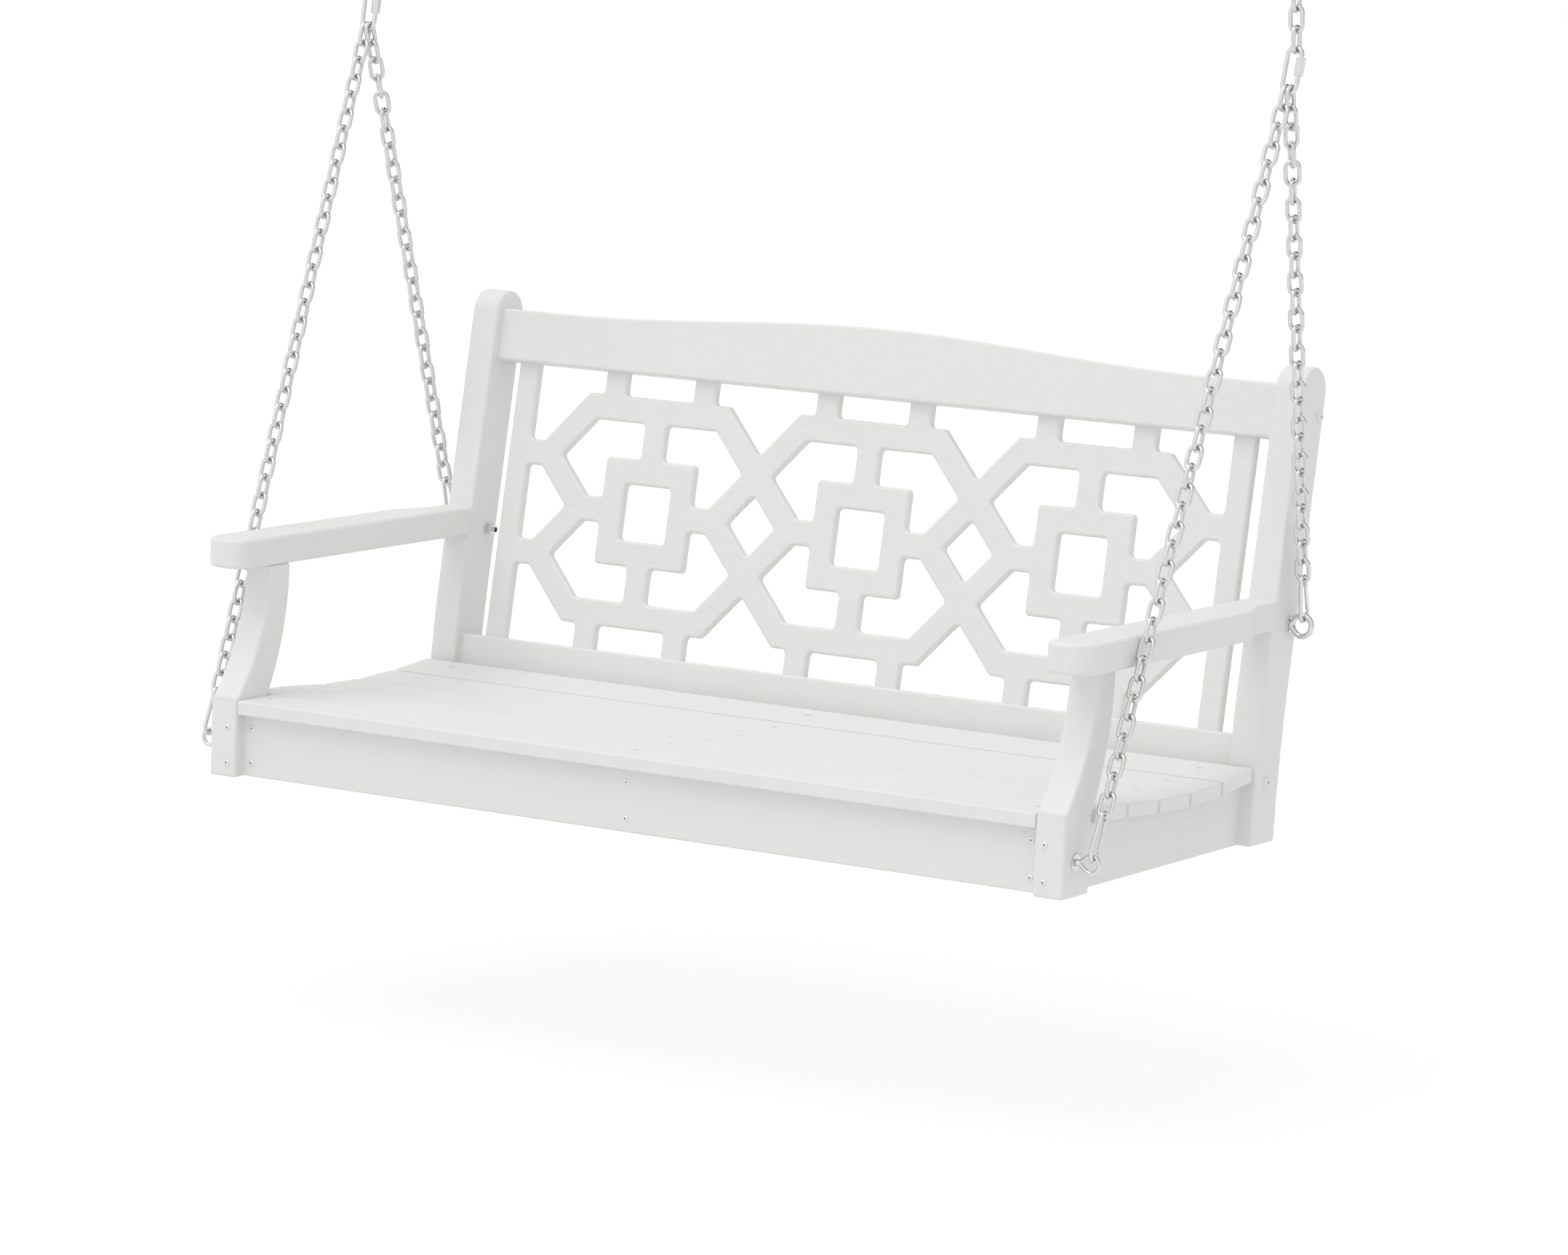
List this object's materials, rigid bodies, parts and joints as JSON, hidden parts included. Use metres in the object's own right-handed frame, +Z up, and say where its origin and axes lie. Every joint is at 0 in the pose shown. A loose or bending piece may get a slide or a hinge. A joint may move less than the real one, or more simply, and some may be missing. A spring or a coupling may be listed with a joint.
{
  "type": "porch swing",
  "caption": "Hanging bench seat with a pierced lattice back, contoured slats, armrests and V chains with snap hooks and quick links to ceiling eyes.",
  "frame": {"origin": "on the ceiling, midway between the two ceiling eyes' shanks", "axes": "+Z up, the seat faces -Y, +X to the right of someone facing its front"},
  "size_m": [1.386, 0.624, 1.162],
  "materials": {
    "boards": "white recycled plastic lumber with a fine embossed grain",
    "chain_steel": "bright zinc plated",
    "hook_steel": "polished stainless",
    "screw_steel": "stainless screws",
    "coated_bolt": "white coated button heads"
  },
  "bodies": {
    "ceiling": {"ceiling_eye_left": "hook_steel", "ceiling_eye_right": "hook_steel"},
    "hangers": {"quick_link_left": "hook_steel", "quick_link_right": "hook_steel", "upper_chain_left": "chain_steel", "upper_chain_right": "chain_steel"},
    "seat": {"front_post_left": "boards", "front_post_right": "boards", "back_post_left": "boards", "back_post_right": "boards", "armrest_left": "boards", "armrest_right": "boards", "top_rail": "boards", "back_panel": "boards", "lower_back_rail": "boards", "front_apron": "boards", "side_rail_left": "boards", "side_rail_right": "boards", "seat_rib_left": "boards", "seat_rib_centre": "boards", "seat_rib_right": "boards", "seat_slat_1": "boards", "seat_slat_2": "boards", "seat_slat_3": "boards", "seat_slat_4": "boards", "seat_slat_5": "boards", "seat_slat_6": "boards", "slat_screws": "screw_steel", "frame_screws": "screw_steel", "rib_screws": "screw_steel", "arm_screws": "screw_steel", "arm_dowels": "boards", "frame_bolts": "coated_bolt", "front_eye_bolts": "hook_steel", "rear_eye_bolts": "hook_steel", "eye_washers": "hook_steel", "eye_nuts": "hook_steel", "snap_hook_front_left": "hook_steel", "snap_hook_front_right": "hook_steel", "snap_hook_rear_left": "hook_steel", "snap_hook_rear_right": "hook_steel", "seat_chain_front_left": "chain_steel", "seat_chain_front_right": "chain_steel", "seat_chain_rear_left": "chain_steel", "seat_chain_rear_right": "chain_steel"},
    "gate_front_right": {"hook_gate_front_right": "hook_steel"},
    "gate_rear_right": {"hook_gate_rear_right": "hook_steel"},
    "sleeve_right": {"quick_sleeve_right": "hook_steel"},
    "gate_front_left": {"hook_gate_front_left": "hook_steel"},
    "gate_rear_left": {"hook_gate_rear_left": "hook_steel"},
    "sleeve_left": {"quick_sleeve_left": "hook_steel"}
  },
  "joints": [
    {"name": "swing", "type": "hinge", "parent": "ceiling", "child": "hangers", "pos_m": [0, 0, -0.038], "axis": [1, 0, 0], "range_deg": [-25, 25]},
    {"name": "seat_tilt", "type": "hinge", "parent": "hangers", "child": "seat", "pos_m": [0, -0.00764, -0.15846], "axis": [1, 0, 0], "range_deg": [-10, 10]},
    {"name": "gate_front_right_hinge", "type": "hinge", "parent": "seat", "child": "gate_front_right", "pos_m": [0.64656, -0.33078, -1.00044], "axis": [-0.9996, 0, 0.0292], "range_deg": [0, 16], "stiffness_Nm_per_rad": 0.03, "springref_deg": -8.59},
    {"name": "gate_rear_right_hinge", "type": "hinge", "parent": "seat", "child": "gate_rear_right", "pos_m": [0.64323, 0.16309, -0.76614], "axis": [-0.9985, 0, 0.0554], "range_deg": [0, 16], "stiffness_Nm_per_rad": 0.03, "springref_deg": -8.59},
    {"name": "gate_front_left_hinge", "type": "hinge", "parent": "seat", "child": "gate_front_left", "pos_m": [-0.64682, -0.33078, -1.00045], "axis": [-0.9994, 0, -0.0358], "range_deg": [0, 16], "stiffness_Nm_per_rad": 0.03, "springref_deg": -8.59},
    {"name": "gate_rear_left_hinge", "type": "hinge", "parent": "seat", "child": "gate_rear_left", "pos_m": [-0.64284, 0.16309, -0.76612], "axis": [-0.9989, 0, -0.0466], "range_deg": [0, 16], "stiffness_Nm_per_rad": 0.03, "springref_deg": -8.59},
    {"name": "sleeve_right_travel", "type": "slide", "parent": "hangers", "child": "sleeve_right", "axis": [-0.041, -0.2021, -0.9785], "range_m": [0, 0.0095]},
    {"name": "sleeve_left_travel", "type": "slide", "parent": "hangers", "child": "sleeve_left", "axis": [0.041, -0.2021, -0.9785], "range_m": [0, 0.0095]}
  ]
}
